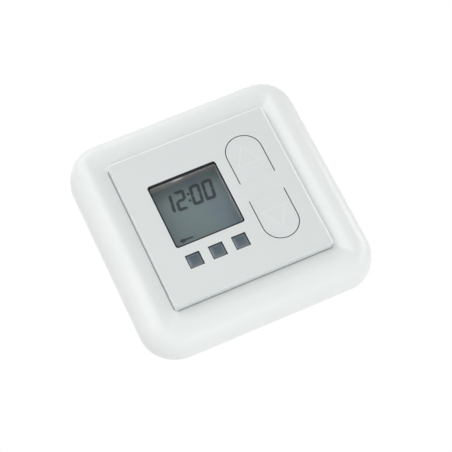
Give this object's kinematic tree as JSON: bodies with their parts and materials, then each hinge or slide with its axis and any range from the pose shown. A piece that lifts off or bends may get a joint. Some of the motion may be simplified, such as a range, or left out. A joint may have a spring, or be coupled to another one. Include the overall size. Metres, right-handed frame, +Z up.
{
  "type": "timer switch",
  "caption": "Flush wall timer switch: rounded square frame, control plate with a display, small square buttons and up and down keys, and a power insert with claws and screw terminals behind.",
  "frame": {"origin": "centre of the support ring's back face, on the wall surface", "axes": "+Z up, the front faces -Y, +Y goes into the wall, +X to the right seen from the room"},
  "size_m": [0.0802, 0.0446, 0.0802],
  "materials": {
    "frame_white": "smooth glossy white thermoplastic",
    "plate_white": "satin white thermoplastic, very slightly cooler than the frame",
    "button_grey": "glossy blue-grey",
    "clear_pane": "clear polished acrylic",
    "bezel_grey": "dark warm grey, satin",
    "display_glass": "grey-green reflective liquid crystal display",
    "contact_rubber": "matt silicone rubber",
    "switch_black": "matt black moulding",
    "plunger_grey": "matt grey moulding",
    "board_green": "green solder mask over glass fibre laminate",
    "steel": "zinc plated steel",
    "ring_steel": "galvanised sheet steel",
    "brass": "tinned brass",
    "shell_grey": "light grey moulding, fine texture",
    "housing_grey": "mid grey glass-filled moulding, fine texture",
    "relay_blue": "blue moulded case",
    "capacitor_yellow": "yellow box case",
    "part_black": "black case",
    "fuse_glass": "pale ceramic tube",
    "terminal_grey": "light grey moulding"
  },
  "bodies": {
    "base": {"backup_battery": "steel", "battery_clip": "steel", "board_screws": "steel", "bridge_rectifier": "part_black", "clock_crystal": "steel", "control_board": "board_green", "cover_frame": "frame_white", "cover_plate": "plate_white", "display_bezel": "bezel_grey", "display_glass": "display_glass", "display_window": "clear_pane", "down_relay": "relay_blue", "driver_chip": "switch_black", "fuse": "fuse_glass", "header_pins": "brass", "insert_housing": "housing_grey", "insert_lid": "shell_grey", "interference_choke": "part_black", "lid_screws": "steel", "lower_contact_strip": "contact_rubber", "mains_capacitor": "capacitor_yellow", "microcontroller": "switch_black", "module_back": "shell_grey", "module_socket": "switch_black", "pin_header": "switch_black", "power_board": "board_green", "push_switches": "switch_black", "smoothing_capacitor": "part_black", "support_ring": "ring_steel", "terminal_block": "terminal_grey", "terminal_clamps": "brass", "terminal_screws": "steel", "up_relay": "relay_blue", "upper_contact_strip": "contact_rubber", "varistor": "relay_blue"},
    "up_key": {"up_key": "plate_white"},
    "down_key": {"down_key": "plate_white"},
    "up_plunger": {"up_plunger": "plunger_grey"},
    "down_plunger": {"down_plunger": "plunger_grey"},
    "left_button": {"left_button": "button_grey", "left_plunger": "plunger_grey"},
    "middle_button": {"middle_button": "button_grey", "middle_plunger": "plunger_grey"},
    "right_button": {"right_button": "button_grey", "right_plunger": "plunger_grey"},
    "left_claw": {"left_claw": "ring_steel"},
    "right_claw": {"right_claw": "ring_steel"},
    "left_claw_screw": {"left_claw_screw": "steel"},
    "right_claw_screw": {"right_claw_screw": "steel"}
  },
  "joints": [
    {"name": "up_key_press", "type": "hinge", "parent": "base", "child": "up_key", "pos_m": [0.01523, -0.0115, 0.0035], "axis": [-1, 0, 0], "range_deg": [0, 2.15], "stiffness_Nm_per_rad": 0.4},
    {"name": "up_plunger_slide", "type": "slide", "parent": "base", "child": "up_plunger", "axis": [0, 1, 0], "range_m": [0, 0.000306]},
    {"name": "down_key_press", "type": "hinge", "parent": "base", "child": "down_key", "pos_m": [0.01523, -0.0115, -0.0032], "axis": [1, 0, 0], "range_deg": [0, 2.15], "stiffness_Nm_per_rad": 0.4},
    {"name": "down_plunger_slide", "type": "slide", "parent": "base", "child": "down_plunger", "axis": [0, 1, 0], "range_m": [0, 0.000306]},
    {"name": "left_button_press", "type": "slide", "parent": "base", "child": "left_button", "axis": [0, 1, 0], "range_m": [0, 0.0003], "stiffness_N_per_m": 5000},
    {"name": "middle_button_press", "type": "slide", "parent": "base", "child": "middle_button", "axis": [0, 1, 0], "range_m": [0, 0.0003], "stiffness_N_per_m": 5000},
    {"name": "right_button_press", "type": "slide", "parent": "base", "child": "right_button", "axis": [0, 1, 0], "range_m": [0, 0.0003], "stiffness_N_per_m": 5000},
    {"name": "right_claw_screw_turn", "type": "hinge", "parent": "base", "child": "right_claw_screw", "pos_m": [0.0253, 0, 0.008], "axis": [0, 1, 0], "range_deg": [0, 540]},
    {"name": "right_claw_spread", "type": "hinge", "parent": "base", "child": "right_claw", "pos_m": [0.0233, 0.0035, 0.008], "axis": [0, 0, -1], "range_deg": [0, 25.1]},
    {"name": "left_claw_screw_turn", "type": "hinge", "parent": "base", "child": "left_claw_screw", "pos_m": [-0.0253, 0, -0.008], "axis": [0, 1, 0], "range_deg": [0, 540]},
    {"name": "left_claw_spread", "type": "hinge", "parent": "base", "child": "left_claw", "pos_m": [-0.0233, 0.0035, -0.008], "axis": [0, 0, 1], "range_deg": [0, 25.1]}
  ],
  "couplings": [
    {"joint": "up_plunger_slide", "follows": "up_key_press", "m_per_rad": 0.008},
    {"joint": "down_plunger_slide", "follows": "down_key_press", "m_per_rad": 0.008},
    {"joint": "right_claw_spread", "follows": "right_claw_screw_turn", "ratio": 0.046296},
    {"joint": "left_claw_spread", "follows": "left_claw_screw_turn", "ratio": 0.046296}
  ]
}
